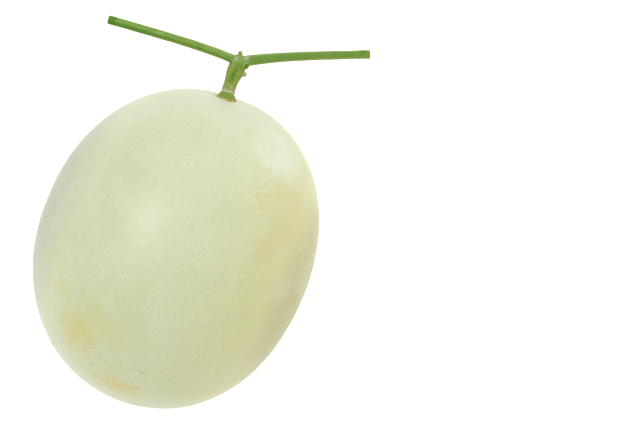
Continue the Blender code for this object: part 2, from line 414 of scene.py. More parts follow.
def grain(place, size, seed=0.0):
    """Height and shade of the fine grain."""
    node = put(place.tree, "ShaderNodeGroup", {"Place": place, "Size": size, "Seed": seed},
               node_tree=GRAIN)
    return Flow(place.tree, node.outputs["Height"]), Flow(place.tree, node.outputs["Shade"])


def patch(place, centre, reach, stretch=(1, 1, 1), wander=0.5):
    """Mask of one soft stain."""
    return flow(place.tree, "ShaderNodeGroup",
                {"Place": place, "Centre": centre, "Reach": reach, "Stretch": stretch,
                 "Wander": wander}, node_tree=PATCH)


def flecks(place, spacing, size, share):
    """Mask of scattered flecks."""
    return flow(place.tree, "ShaderNodeGroup",
                {"Place": place, "Spacing": spacing, "Size": size, "Share": share},
                node_tree=FLECKS)


def mixed(share, first, second):
    """Colour between two, by a share that changes over the surface."""
    return flow(share.tree, "ShaderNodeMix", {0: share, 6: first, 7: second}, output=2,
                data_type="RGBA")


def over(tone, share, code):
    """The tone, with a paint laid over it as far as the share says."""
    return mixed(share, tone, paint(code))


def new_finish(name):
    """A material, its tree and its shader."""
    material = bpy.data.materials.new(name)
    material.use_nodes = True
    return material, material.node_tree, material.node_tree.nodes["Principled BSDF"]


def fruit_place(tree):
    """Place on the fruit in millimetres, in the fruit's own frame."""
    seen = flow(tree, "ShaderNodeTexCoord", output="Object")
    return flow(tree, "ShaderNodeMapping",
                {"Vector": seen, "Location": MIDDLE, "Rotation": FRUIT_TURN, "Scale": (MM, MM, MM)},
                vector_type="TEXTURE")


def wire(shader, colour, roughness, height, depth, strength):
    """Connect the varying values of a finish to its shader."""
    tree = colour.tree
    tree.links.new(colour.socket, shader.inputs["Base Color"])
    tree.links.new(roughness.socket, shader.inputs["Roughness"])
    bump = flow(tree, "ShaderNodeBump", {"Height": height, "Distance": depth, "Strength": strength})
    tree.links.new(bump.socket, shader.inputs["Normal"])


def waxy(shader, weight, radius, scale, specular):
    """Light soaks a little way into living skin, and its wax gives a weak gloss."""
    shader.inputs["Subsurface Weight"].default_value = weight
    shader.inputs["Subsurface Radius"].default_value = radius
    shader.inputs["Subsurface Scale"].default_value = scale
    shader.inputs["Specular IOR Level"].default_value = specular


def skin_spot(along, turn):
    """Point on the skin, mm, from its place along the axis and its turn from the top to the left."""
    share = 1 - abs(along * MM / (MELON_LENGTH / 2)) ** MELON_FULLNESS
    off_axis = MELON_DIAMETER / 2 / MM * share ** (1 / MELON_FULLNESS)
    angle = math.radians(turn)
    return Vector((along, off_axis * math.sin(angle), off_axis * math.cos(angle)))


print("shared groups:", [group.name for group in (GRAIN, PATCH, FLECKS)])

# %% [markdown]
# ## The rind's finish
# A smooth melon's rind is a waxy, milky green skin. It is paler at the stem end and yellower towards
# the blossom end and on its right side, where a real blush is mixed with painted warm bounce light.
# Both flanks carry painted shade, and a milky patch at the upper right is partly a painted reflection.
# Close up it is full of tiny whitish dots in faint lengthwise rows. The spot it lay on stays cream. All
# of it is worked out from the place on the fruit, so the colours sit on the fruit and not on the view.

# %% Rind finish
SOFT_STAINS = (                             # along mm, turn degrees, reach mm, stretch, strength
    (-43, 16, 27, (0.5, 1.1, 1), 0.44, "#DCD57E"),
    (-35, 38, 10, (0.6, 1.1, 1), 0.46, "#DCD57E"),
    (-53, 27, 16, (1, 1, 1), 0.56, "#DCCF78"),
    (-73, -4, 13, (1, 1.4, 1), 0.55, "#DFCC76"),
    (42, -47, 27, (1.3, 0.75, 1), 0.44, "#D8CB80"))
RAGGED_STAINS = (                           # the same, with the cover: less of it gives more blots
    (-56, 25, 17, (1, 1, 1), 0.50, 0.55, "#DCCB5C"),
    (-73, -3, 14, (1, 1.3, 1), 0.49, 0.66, "#E0CB58"),
    (-63, 2, 27, (0.6, 1.3, 1), 0.56, 0.45, "#CDB866"),
    (56, -33, 20, (1.2, 0.5, 1), 0.54, 0.50, "#D6BE68"),
    (20, -36, 20, (1.2, 0.5, 1), 0.58, 0.40, "#D6C070"))


def broad_tone(place, along, left):
    """Pale at the stem end; yellow on the right, part blush and part painted bounce light; painted
    shade on both flanks; a milky patch that is part painted reflection.
    """
    tone = mixed(step_up(along, 70, -70), paint("#DBE1BE"), paint("#D9DEB4"))
    # Yellow on the right side: partly a real blush, partly painted warm bounce light.
    blush_and_bounce = step_up(left + clouds(place, 45, 2) * 16, 2, -60)
    tone = over(tone, blush_and_bounce * 0.80, "#DDD78C")
    # Painted shade: the far right rim is darkened to olive.
    tone = over(tone, step_up(left, -54, -73) * 0.8, "#AFA662")
    # Painted shade: the left flank is painted greyer and darker.
    tone = over(tone, step_up(left, 44, 73) * 0.85, "#ACAF98")
    # A milky patch at the upper right: partly paler skin, partly a painted reflection of the light from
    # there.
    milky_and_reflection = patch(place, skin_spot(72, -47), 24, wander=0.3)
    return over(tone, milky_and_reflection * 0.6, "#EFF1E2")


def end_tones(tone, place, along, top):
    """The cream ground spot and the warm blossom end."""
    ground = step_up(top + clouds(place, 22, 3) * 16, -52, -66)
    tone = over(tone, ground * 0.85, "#E9DDAA")
    blossom = step_up(along + clouds(place, 14, 3) * 10, -72, -88)
    return over(tone, blossom * 0.55, "#D9CC8C")


def stained(tone, place, leather):
    """Stains that have a place of their own: soft ones, ragged blots, and a few dark specks."""
    for along, turn, reach, stretch, strength, code in SOFT_STAINS:
        stain = patch(place, skin_spot(along, turn), reach, stretch, 0.7)
        tone = over(tone, stain * step_up(leather, 0.30, 0.55) * strength, code)
    ragged = clouds(place, 1.9, 3, 0.6, seed=20.0)
    for along, turn, reach, stretch, cover, strength, code in RAGGED_STAINS:
        near = patch(place, skin_spot(along, turn), reach, stretch, 0.6)
        tone = over(tone, near * step_up(ragged, cover, cover + 0.07) * strength, code)
    tone = over(tone, flecks(place, 17, 0.045, 0.35) * 0.5, "#A99B6C")
    return over(tone, patch(place, skin_spot(83, -16), 0.9, wander=0.2) * 0.6, "#8C9068")


def make_rind_finish():
    material, tree, shader = new_finish("milky_rind")
    place = fruit_place(tree)
    along, left, top = split(place)
    girth = (left * left + top * top) ** 0.5

    # soft marbling, faint lengthwise rows, a leathery grain, pale dots and a fine grain
    marble = clouds(place, 26, 3)
    rows = clouds(join(tree, along * 0.05, left / girth * 14, top / girth * 14), 0.7, 3, 0.6)
    leather = clouds(place, 1.15, 2, 0.55)
    dots = flecks(place, 2.3, 0.26, 0.5)
    fine_height, fine_shade = grain(place, 0.6)
    tone = broad_tone(place, along, left)
    for share, code in ((step_up(marble, 0.50, 0.34) * 0.22, "#C8D298"),
                        (step_up(marble, 0.52, 0.68) * 0.22, "#E0E4C2"),
                        (step_up(rows, 0.35, 0.7) * 0.10, "#EAECD6"),
                        (step_up(leather, 0.50, 0.72) * 0.24, "#ECEFDC"),
                        (step_up(leather, 0.50, 0.28) * 0.24, "#BDC784"),
                        (dots * 0.14, "#F0F1E2"),
                        (fine_shade * 0.06, "#BFC893")):
        tone = over(tone, share, code)
    tone = stained(end_tones(tone, place, along, top), place, leather)

    roughness = 0.33 + marble * 0.10 + leather * 0.08
    height = fine_height * 0.5 + leather + dots * 0.3 + rows * 0.4
    wire(shader, tone, roughness, height, depth=0.13 * MM, strength=0.35)
    waxy(shader, weight=0.12, radius=(1.0, 0.9, 0.5), scale=2.5 * MM, specular=0.5)
    shader.inputs["Sheen Weight"].default_value = 0.10
    shader.inputs["Sheen Roughness"].default_value = 0.5
    return material


RIND = make_rind_finish()
print("rind finish:", len(RIND.node_tree.nodes), "nodes")

# %% [markdown]
# ## The melon's body
# The fruit's outline is a superellipse: fuller than an egg, rounder than a barrel. A ball could be
# pulled to that shape by hand, but a rule does it exactly, so a Geometry Nodes tree starts from a
# ball, moves each point by the formula, sinks the skin round the stalk, adds the slight swellings of
# a grown thing, tips the fruit and presses its ground spot on the floor.

# %% Tree for the melon's body
BASIN_DEPTH = 2.6 * MM
BASIN_RADIUS = 12.0 * MM
STALK_OFFSET = 5.4 * MM
FOOT_RISE = 4.0 * MM                        # the stalk stands a little above the axis
BASIN_LIFT = FOOT_RISE + 2.0 * MM           # the dip reaches further above the stalk than below
BEND = 1.8 * MM                             # how far both ends lean to the right
SWELLING = 0.35 * MM                        # the slight swellings of a grown thing
SWELLING_SIZE = 34 * MM
EDGE_SOFTNESS = 0.6 * MM                    # rounds the edge of the resting face


def make_body_tree():
    tree, given = new_tree("melon_body", "GeometryNodeTree", {
        "Around": (INT, 300), "Lengthwise": (INT, 288), "Length": (FLOAT, 0.17),
        "Diameter": (FLOAT, 0.15), "Fullness": (FLOAT, 2.0), "Basin Depth": (FLOAT, 0.0),
        "Basin Radius": (FLOAT, 0.01), "Stalk Offset": (FLOAT, 0.0), "Basin Lift": (FLOAT, 0.0),
        "Bend": (FLOAT, 0.0), "Swelling": (FLOAT, 0.0), "Swelling Size": (FLOAT, 0.03),
        "Tilt": (FLOAT, 0.0), "Middle": (VECTOR, None),
        "Edge Softness": (FLOAT, 0.0005), "Finish": (MATERIAL, None)}, {"Geometry": GEOMETRY})
    ball = flow(tree, "GeometryNodeMeshUVSphere",
                {"Segments": given["Around"], "Rings": given["Lengthwise"], "Radius": 1.0})
    x, y, z = split(flow(tree, "GeometryNodeInputPosition"))
    power = 2 / given["Fullness"]
    along = calc(tree, "SIGN", z) * calc(tree, "ABSOLUTE", z) ** power * given["Length"] / 2
    around = (x * x + y * y) ** 0.5
    widen = around ** power * given["Diameter"] / 2 / around
    end_share = along / (given["Length"] / 2)
    left = y * widen * -1 - given["Bend"] * end_share * end_share
    top = x * widen
    reach = (left - given["Stalk Offset"]) ** 2 + (top - given["Basin Lift"]) ** 2
    reach = reach / given["Basin Radius"] ** 2
    sunk = given["Basin Depth"] * calc(tree, "EXPONENT", reach * -1)
    sunk = sunk * calc(tree, "GREATER_THAN", along, 0.0)
    shaped = flow(tree, "GeometryNodeSetPosition",
                  {"Geometry": ball, "Position": join(tree, along - sunk, left, top)})

    swollen = roughened(tree, shaped, given["Swelling Size"], given["Swelling"])
    turn = join(tree, 0.0, given["Tilt"] * -1, 0.0)
    lying = flow(tree, "GeometryNodeTransform",
                 {"Geometry": swollen, "Translation": given["Middle"], "Rotation": turn})
    x, y, z = split(flow(tree, "GeometryNodeInputPosition"))
    pressed = calc(tree, "SMOOTH_MAX", z, 0.0, given["Edge Softness"])
    resting = flow(tree, "GeometryNodeSetPosition",
                   {"Geometry": lying, "Position": join(tree, x, y, pressed)})
    end_tree(tree, resting, given["Finish"])
    return tree


rind = grow(make_body_tree(), "melon_rind", around=300, lengthwise=288, length=MELON_LENGTH,
            diameter=MELON_DIAMETER, fullness=MELON_FULLNESS, basin_depth=BASIN_DEPTH,
            basin_radius=BASIN_RADIUS, stalk_offset=STALK_OFFSET, basin_lift=BASIN_LIFT,
            bend=BEND, swelling=SWELLING, swelling_size=SWELLING_SIZE, tilt=AXIS_TILT,
            middle=tuple(MIDDLE), edge_softness=EDGE_SOFTNESS, finish=RIND)
report(rind)

# %% [markdown]
# ## The lines the stem follows
# The stem is a T: a short stalk stands on the fruit and meets a cut piece of vine, whose two arms
# leave the knot to the left and the right. Each part is a line first. A heading that turns evenly,
# or that settles after a first bend, gives the quiet curve of a real shoot.

# %% Lines of the stalk and the two arms
STALK_LENGTH = 21.9 * MM
STALK_LEAN = (math.radians(10.0), math.radians(-4.0))     # at the foot and at the knot
FOOT_DEPTH = 0.3 * MM                                     # foot of the stalk, below the dip
LEFT_LENGTH = 75.2 * MM
RIGHT_LENGTH = 70.3 * MM
UP = Vector((0, 0, 1))


def skin_along(off_axis):
    """How far out the stem end's skin lies, at a distance from the axis."""
    share = 1 - (off_axis / (MELON_DIAMETER / 2)) ** MELON_FULLNESS
    return MELON_LENGTH / 2 * share ** (1 / MELON_FULLNESS)


def stalk_heading(share):
    """Way the stalk runs at a share of its length."""
    lean = STALK_LEAN[0] + (STALK_LEAN[1] - STALK_LEAN[0]) * share
    drop = FOOT_RISE / STALK_LENGTH * math.pi / 2 * math.sin(math.pi * share)
    level = math.sqrt(1 - drop * drop)
    return Vector((math.cos(lean) * level, math.sin(lean) * level, -drop))


def stalk_line(steps=40):
    """Middle line of the stalk from its foot to the middle of the knot."""
    off_axis = math.hypot(STALK_OFFSET, FOOT_RISE)
    skin = Vector((skin_along(off_axis) - BASIN_DEPTH, STALK_OFFSET, FOOT_RISE))
    points = [skin - stalk_heading(0) * FOOT_DEPTH]
    for step in range(steps):
        points.append(points[-1] + stalk_heading((step + 0.5) / steps) * STALK_LENGTH / steps)
    return points


def arm_line(side, length, start, end, climb, steps=90):
    """Middle line of one arm, whose sweep settles from start to end, in degrees, as it climbs."""
    points = [KNOT]
    for step in range(steps):
        sweep = math.radians(end + (start - end) * (1 - (step + 0.5) / steps) ** 3)
        up = math.tan(math.radians(climb))
        heading = Vector((math.sin(sweep), side * math.cos(sweep), up)).normalized()
        points.append(points[-1] + heading * length / steps)
    return points


STALK = stalk_line()
KNOT = STALK[-1]
LEFT_ARM = arm_line(1, LEFT_LENGTH, start=1.3, end=-7.3, climb=-3.0)
RIGHT_ARM = arm_line(-1, RIGHT_LENGTH, start=32.4, end=24.3, climb=2.0)
print("knot, mm:", [round(value / MM, 1) for value in KNOT])

# %% [markdown]
# ## Ribbed tubes
# Melon vine is ribbed: five low ribs with a narrow groove between each two. A profile swept along
# the line makes them, and a slow twist lets the grooves wander round the arm. One Geometry Nodes tree
# serves for the stalk, both arms and the cut stubs. The thickness at each place is an attribute of
# the line.

# %% Tree for ribbed tubes
def make_tube_tree():
    tree, given = new_tree("ribbed_tube", "GeometryNodeTree", {
        "Line": (GEOMETRY, None), "Ribs": (FLOAT, 5.0), "Rib Height": (FLOAT, 0.05),
        "Sides": (INT, 60), "First Turn": (FLOAT, 0.0), "Twist": (FLOAT, 0.0),
        "Finish": (MATERIAL, None)}, {"Geometry": GEOMETRY})
    circle = flow(tree, "GeometryNodeCurvePrimitiveCircle",
                  {"Resolution": given["Sides"], "Radius": 1.0})
    x, y, z = split(flow(tree, "GeometryNodeInputPosition"))
    angle = calc(tree, "ARCTAN2", y, x)
    ribs = calc(tree, "ABSOLUTE", calc(tree, "COSINE", angle * given["Ribs"] / 2)) ** 0.8 * 2 - 1
    reach = 1 + ribs * given["Rib Height"]
    profile = flow(tree, "GeometryNodeSetPosition",
                   {"Geometry": circle, "Position": join(tree, x * reach, y * reach, z)})
    line = flow(tree, "GeometryNodeMeshToCurve", {0: given["Line"]})
    line = flow(tree, "GeometryNodeSetCurveNormal", {0: line}, mode="Z_UP")
    share = flow(tree, "GeometryNodeSplineParameter", output="Factor")
    line = flow(tree, "GeometryNodeSetCurveTilt",
                {"Curve": line, "Tilt": given["First Turn"] + share * given["Twist"]})
    tube = flow(tree, "GeometryNodeCurveToMesh",
                {"Curve": line, "Profile Curve": profile, "Scale": held(tree, "thickness"),
                 "Fill Caps": True})
    end_tree(tree, tube, given["Finish"])
    return tree


TUBE_TREE = make_tube_tree()


def line_mesh(points, radii, closed=False):
    """A mesh of one line with a thickness at each point."""
    mesh = bpy.data.meshes.new("line")
    links = [(index, index + 1) for index in range(len(points) - 1)]
    if closed:
        links.append((len(points) - 1, 0))
    mesh.from_pydata(points, links, [])
    mesh.attributes.new("thickness", "FLOAT", "POINT").data.foreach_set("value", radii)
    return mesh


def tube(name, points, radii, **values):
    """A ribbed tube along a line."""
    return grow(TUBE_TREE, name, line_mesh(points, radii), **values)


def rise(values, low, high):
    """0 below low, 1 above high, smooth between; low may be the greater."""
    share = np.clip((values - low) / (high - low), 0, 1)
    return share * share * (3 - 2 * share)


RIB_SWELL = 1.03                            # the ribs stand this much outside the mean radius
UNEVENNESS = 0.03                           # of an arm's thickness
ARM_RADIUS = 2.3 * MM


def stalk_radius(height):
    """The stalk's radius: flared at the collar, waisted, widening into the knot."""
    waist, knot_widening, collar_flare, flare_height = 7.2 * MM, 2.2 * MM, 3.4 * MM, 3.0 * MM
    widening = knot_widening * rise(height, 8.8 * MM, 17.3 * MM)
    flare = collar_flare * math.exp(-(height / flare_height) ** 2)
    return (waist + widening + flare) / 2 / RIB_SWELL


def left_radius(share):
    """The left arm keeps its thickness, with slight unevenness."""
    return ARM_RADIUS * (1 + UNEVENNESS * noise.noise(Vector((share * 9, 0, 3))))


def right_radius(share):
    """The right arm is thicker at the knot."""
    swell = 0.7 * MM * (1 - share) ** 3
    return (2.24 * MM + swell) * (1 + UNEVENNESS * noise.noise(Vector((share * 9, 7, 0))))


def shares(points):
    """Even shares from 0 to 1, one for each point."""
    return [index / (len(points) - 1) for index in range(len(points))]


SIDE_STUB_ROOT, SHOULDER = STALK[30], STALK[31]           # three quarters of the way up the stalk
STUBS = {                                   # root, way, reach, radius, radius at the tip
    "leaf_stub": (KNOT, Vector((-0.09, -0.70, 0.70)), 6.3 * MM, 2.1 * MM, 1.85 * MM),
    "tendril_stub": (KNOT + Vector((-0.9, 2.6, 1.2)) * MM, Vector((-0.20, 0.52, 0.83)), 3.6 * MM,
                     1.35 * MM, 1.25 * MM),
    "side_stub": (SIDE_STUB_ROOT, Vector((0.05, -0.95, 0.32)), 6.3 * MM, 1.5 * MM, 1.25 * MM),
    "bud": (KNOT, Vector((0.93, 0.34, 0.12)), 5.9 * MM, 1.6 * MM, 1.0 * MM),
}
STUB_FLARE = 0.9 * MM                       # a stub is this much wider at its root


def stub_tube(name, steps=10):
    """A short round stub with a flared root."""
    root, way, reach, radius, tip = STUBS[name]
    points = [root + way.normalized() * reach * step / steps for step in range(steps + 1)]
    radii = [radius + (tip - radius) * share + STUB_FLARE * (1 - share) ** 2
             for share in shares(points)]
    return tube(name, points, radii, rib_height=0.02, sides=32)


def blob(name, middle, radii):
    """A flattened ball: the knot itself and the swellings on it."""
    mesh = bpy.data.meshes.new(name)
    ball = bmesh.new()
    bmesh.ops.create_uvsphere(ball, u_segments=32, v_segments=16, radius=1,
                              matrix=Matrix.Translation(middle) @ Matrix.Diagonal((*radii, 1)))
    ball.to_mesh(mesh)
    ball.free()
    return place_object(name, mesh)


parts = [
    tube("stalk", STALK, [stalk_radius(share * STALK_LENGTH) for share in shares(STALK)],
         rib_height=0.055, sides=90, first_turn=0.3, twist=0.5),
    tube("left_arm", LEFT_ARM, [left_radius(share) for share in shares(LEFT_ARM)],
         rib_height=0.06, first_turn=0.2, twist=0.9),
    tube("right_arm", RIGHT_ARM, [right_radius(share) for share in shares(RIGHT_ARM)],
         rib_height=0.06, first_turn=0.5, twist=-0.5),
    *[stub_tube(name) for name in STUBS],
    blob("knot", KNOT, (3.8 * MM, 5.4 * MM, 4.5 * MM)),
    blob("shoulder", SHOULDER + Vector((0, -2.6 * MM, 0.2 * MM)), (3.0 * MM, 2.3 * MM, 3.0 * MM)),
]
print("stem parts before they are grown together:", [part.name for part in parts])

# %% [markdown]
# ## Growing the stem together
# On the plant all these parts are one body with soft joints. A Boolean would leave a sharp crease at
# each joint. A voxel remesh melts them into one skin instead, and a little smoothing rounds the
# joints, which is how tissue grows.

# %% One stem from its parts
FUSE_SIZE = 0.22 * MM                       # fine enough to keep the ribs


def fuse(name, pieces):
    """Melt overlapping closed pieces into one smooth skin."""
    whole = bmesh.new()
    for piece in pieces:
        whole.from_mesh(piece.data)
        bpy.data.objects.remove(piece, do_unlink=True)
    mesh = bpy.data.meshes.new(name)
    whole.to_mesh(mesh)
    whole.free()
    thing = place_object(name, mesh)
    melt = thing.modifiers.new("melt", "REMESH")
    melt.mode = "VOXEL"
    melt.voxel_size = FUSE_SIZE
    melt.use_smooth_shade = True
    soften = thing.modifiers.new("soften", "SMOOTH")
    soften.factor = 0.5
    soften.iterations = 5
    return applied(thing)


stem = fuse("melon_stem", parts)
report(stem)

# %% [markdown]
# ## What each place on the stem is
# The finish needs to know, for each point, how far along the shoot it is, how far round it, and whether
# it is on bark or on a cut face. That is worked out once from the lines, and kept as attributes of the
# mesh, so that the colours follow the shoot round every bend.

# %% Places along the stem
def read_points(mesh):
    """All points and normals of a mesh, one row each."""
    points = np.empty(len(mesh.vertices) * 3)
    normals = np.empty(len(mesh.vertices) * 3)
    mesh.vertices.foreach_get("co", points)
    mesh.vertex_normals.foreach_get("vector", normals)
    return points.reshape(-1, 3), normals.reshape(-1, 3)


def keep(mesh, name, values):
    """Store one number, or one vector, for each point."""
    kind = "FLOAT" if values.ndim == 1 else "FLOAT_VECTOR"
    field = "value" if values.ndim == 1 else "vector"
    mesh.attributes.new(name, kind, "POINT").data.foreach_set(field, values.astype(float).ravel())


def along_line(points, line):
    """For each point: distance along the line, distance off it, and the angle round it."""
    line = np.array(line)
    ways = np.gradient(line, axis=0)
    ways /= np.linalg.norm(ways, axis=1)[:, None]
    lengths = np.concatenate([[0], np.cumsum(np.linalg.norm(np.diff(line, axis=0), axis=1))])
    nearest = np.empty(len(points), int)
    at_once = 20000                         # points, so that the table of gaps stays small
    for start in range(0, len(points), at_once):
        part = points[start:start + at_once]
        gaps = ((part[:, None, :] - line[None, :, :]) ** 2).sum(2)
        nearest[start:start + at_once] = gaps.argmin(1)
    offset = points - line[nearest]
    way = ways[nearest]
    past = (offset * way).sum(1)
    across = offset - way * past[:, None]
    side = np.cross(np.array(UP), way)
    side /= np.linalg.norm(side, axis=1)[:, None]
    top = np.cross(way, side)
    angle = np.arctan2((across * top).sum(1), (across * side).sum(1))
    return lengths[nearest] + past, np.linalg.norm(across, axis=1), angle


BEHIND_START = 9.0                          # keeps a line from owning what lies behind its start
ROUTES = {"stalk": (STALK, 3.9 * MM), "left": (LEFT_ARM, 2.35 * MM), "right": (RIGHT_ARM, 2.3 * MM)}

points, normals = read_points(stem.data)
found = {name: along_line(points, line) for name, (line, radius) in ROUTES.items()}
nearness = np.array([found[name][1] / radius + BEHIND_START * rise(-found[name][0], 0, 2 * MM)
                     for name, (line, radius) in ROUTES.items()])
owner = nearness.argmin(0)
each = np.arange(len(points))
distance, off_line, angle = [np.array([found[name][part] for name in ROUTES])[owner, each]
                             for part in range(3)]
print("points on stalk, left and right arm:", np.bincount(owner, minlength=3))

# %% [markdown]
# ## Fibres, crack and cut ends
# Bark fibres run lengthwise, so the small relief is stretched along the shoot. A shallow crack runs
# round the stalk above the collar, where the ripe fruit lets go, and the collar's edge is lifted
# unevenly off the skin. The cut ends stay smooth. Each place is kept for the finish as well.

# %% Fine relief of the stem
FIBRES_PER_METRE = 140
FIBRES_ROUND = 2.6
GRAINS_PER_METRE = 1100
BARK_RELIEF = 0.07 * MM
RING_HEIGHT = 4.1 * MM                      # of the crack round the stalk, above its foot
RING_WANDER = 0.8 * MM
RING_DEPTH = 0.22 * MM
LIP_LIFT = 0.9 * MM
STUB_GRASP = 1.5                            # tip radii: what is closer belongs to the stub
FAR = 40.0                                  # mm, stands for "not near"


def relief(point, along, turn):
    """Small height of the bark at one point, between about -1 and 1."""
    fibre = noise.noise(Vector((along * FIBRES_PER_METRE, math.cos(turn) * FIBRES_ROUND,
                                math.sin(turn) * FIBRES_ROUND)))
    return fibre * 0.7 + noise.noise(point * GRAINS_PER_METRE) * 0.3


def near_end(height, end, begins, full):
    """0 below a gap before the end, 1 above a smaller gap; both in mm."""
    return rise(height, end - begins * MM, end - full * MM)


def round_stub(name):
    """For each point: height along a stub, the stub's reach, and distance off it in tip radii."""
    root, way, reach, _, tip = STUBS[name]
    way = np.array(way.normalized())
    offset = points - np.array(root)
    height = offset @ way
    return height, reach, np.linalg.norm(offset - height[:, None] * way, axis=1) / tip


on_foot, on_left, on_right = owner == 0, owner == 1, owner == 2
tip_cut = np.maximum(near_end(found["left"][0], LEFT_LENGTH, 0.35, 0.1) * on_left,
                     near_end(found["right"][0], RIGHT_LENGTH, 0.35, 0.1) * on_right)
stub_cut = np.zeros(len(points))
stub_share = np.zeros(len(points))
for name in ("leaf_stub", "tendril_stub", "side_stub"):
    height, reach, off = round_stub(name)
    here = near_end(height, reach, 0.45, 0.2) * (off < STUB_GRASP)
    stub_cut = np.maximum(stub_cut, here)
    stub_share = np.where(here > 0, off, stub_share)
height, reach, off = round_stub("side_stub")                # its cut healed pale, further down
pale_cut = near_end(height, reach, 1.6, 0.8) * (off < STUB_GRASP)

heights = np.array([relief(Vector(point), float(along), float(turn))
                    for point, along, turn in zip(points, distance, angle)])
lift = heights * (1 - tip_cut) * (1 - stub_cut) * BARK_RELIEF
foot_height, foot_turn = found["stalk"][0], found["stalk"][2]
wander = np.array([noise.noise(Vector((math.cos(turn) * 1.7, math.sin(turn) * 1.7, 5.0)))
                   for turn in foot_turn])
ring_gap = np.where(on_foot, np.abs(foot_height - RING_HEIGHT - wander * RING_WANDER), FAR * MM)
lift -= rise(ring_gap, 0.55 * MM, 0.1 * MM) * RING_DEPTH
lip = rise(foot_height, 1.6 * MM, 0.4 * MM) * on_foot
lift += lip * (wander + np.maximum(np.sin(foot_turn), 0) ** 2) * LIP_LIFT
knot_gap = np.linalg.norm(points - np.array(KNOT), axis=1)
points += normals * lift[:, None]
stem.data.vertices.foreach_set("co", points.ravel())

tip_gap = np.where(on_left, LEFT_LENGTH - found["left"][0],
                   np.where(on_right, RIGHT_LENGTH - found["right"][0], FAR * MM))
for name, values in (
        ("bark_place", np.stack([distance, off_line * np.cos(angle), off_line * np.sin(angle)],
                                axis=1) / MM),
        ("own_place", points / MM),
        ("fruit_side", -normals[:, 0]),
        ("foot_height", np.where(on_foot, foot_height / MM, FAR)),
        ("ring_gap", np.minimum(ring_gap / MM, FAR)),
        ("tip_cut", tip_cut),
        ("tip_gap", tip_gap / MM),
        ("is_left", on_left.astype(float)),
        ("on_stalk", rise(knot_gap, 8 * MM, 5 * MM) * ~on_foot + on_foot),
        ("cut_share", np.where(stub_cut > 0, stub_share, off_line / ARM_RADIUS)),
        ("stub_cut", stub_cut),
        ("pale_cut", pale_cut)):
    keep(stem.data, name, values)
stem.data.transform(FRUIT_TO_FLOOR)
stem.data.update()
print("stem attributes:", [field.name for field in stem.data.attributes][:12])

# %% [markdown]
# ## The stem's finish
# Young vine is a fresh mid-green with a yellower, olive side towards the fruit. On the arms the colours
# also follow which way each facet faces: painted shade bands across the arms and a painted highlight
# along the side away from the fruit. Old scars on the knot are grey. The collar on the fruit is darker
# and edged with cork, and a pale crack runs round the stalk above it, where the ripe fruit starts to
# let go.

# %% Stem finish
def reading(tree, name, output="Fac"):
    """A value that the mesh holds for each point."""
    return flow(tree, "ShaderNodeAttribute", output=output, attribute_name=name)


def banded_arms(tone, own_place, on_arm, is_left, tip_gap):
    """Facets of the arms, coloured by which way they face: painted shade bands, an olive strip towards
    the fruit, and a painted highlight on the side away from it.
    """
    side = reading(tone.tree, "fruit_side")
    wander = side + (clouds(own_place, 9, 2) - 0.5) * 0.5
    # Painted shade: a dark band set by which way the facets face, not by the ribs.
    shade_band = step_up(wander, 0.0, 0.28) * step_up(wander, 0.85, 0.5)
    outer = step_up(tip_gap, 50, 18)
    left_shade_band = shade_band * (1 - outer) + step_up(wander, -0.15, 0.35) * outer
    tone = over(tone, left_shade_band * is_left * on_arm * 0.85, "#528C0C")
    olive = step_up(side, 0.45, 0.85) * (1 - outer * 0.8 * is_left)
    tone = over(tone, olive * on_arm * 0.75, "#9BA836")
    # Painted shade: a darker band across the middle of the right arm, set by facing.
    middle = step_up(wander, -0.75, -0.35) * step_up(wander, 0.75, 0.3) * (1 - is_left)
    tone = over(tone, middle * on_arm * 0.6, "#66902A")
    # Painted highlight: a pale line along the side that faces away from the fruit.
    tone = over(tone, step_up(side, -0.72, -0.95) * on_arm * 0.6, "#ACC878")

    # the last few millimetres before the cuts
    tone = over(tone, step_up(tip_gap, 5.8, 3.5) * is_left * 0.85, "#4F8600")
    tone = over(tone, step_up(tip_gap, 3.0, 1.0) * (1 - is_left) * 0.7, "#8AA01C")
    end_patch = step_up(tip_gap, 6.5, 4.5) * step_up(tip_gap, 1.0, 2.5) * (1 - is_left)
    return over(tone, end_patch * step_up(side, 0.2, -0.3) * 0.8, "#5E9020")


def furrowed_stalk(tone, own_place, on_stalk, foot, across, high):
    """Olive flanks, and one dark furrow down the middle of the stalk's upper side."""
    tone = over(tone, on_stalk * step_up(foot, 23.3, 16.3) * 0.75, "#8F9F36")
    down = across + (clouds(own_place, 4, 2) - 0.5) * 2.2
    furrow = step_up(calc(tone.tree, "ABSOLUTE", down), 1.5, 0.5) * step_up(high, 1, 2.5)
    furrow = furrow * step_up(foot, 7.8, 10.3) * step_up(foot, 22.3, 17.3)
    return over(tone, furrow * on_stalk * 0.8, "#598806")


def corky_collar(tone, own_place, foot):
    """Darker collar, pale crust over it, the pale crack with rusty spots, and the corky edge."""
    tone = over(tone, step_up(foot, 3.8, 2.6) * 0.7, "#7C9C3A")
    crust = step_up(foot, 4.4, 5.0) * step_up(foot, 9.5, 6.0)
    crust = crust * step_up(clouds(own_place, 1.6, 3, seed=4.0), 0.46, 0.62)
    tone = over(tone, crust * 0.42, "#CDD0B4")
    ring = step_up(reading(tone.tree, "ring_gap"), 0.75, 0.2)
    tone = over(tone, ring * step_up(clouds(own_place, 1.4, 2), 0.24, 0.42) * 0.85, "#D9D5BC")
    rust = step_up(clouds(own_place, 1.1, 2, seed=9.0), 0.55, 0.7)
    tone = over(tone, ring * rust * 0.7, "#C98F4A")
    edge = step_up(foot + clouds(own_place, 1.6, 2) * 1.4, 1.7, 0.9)
    return over(tone, edge * 0.9, "#C6A262")


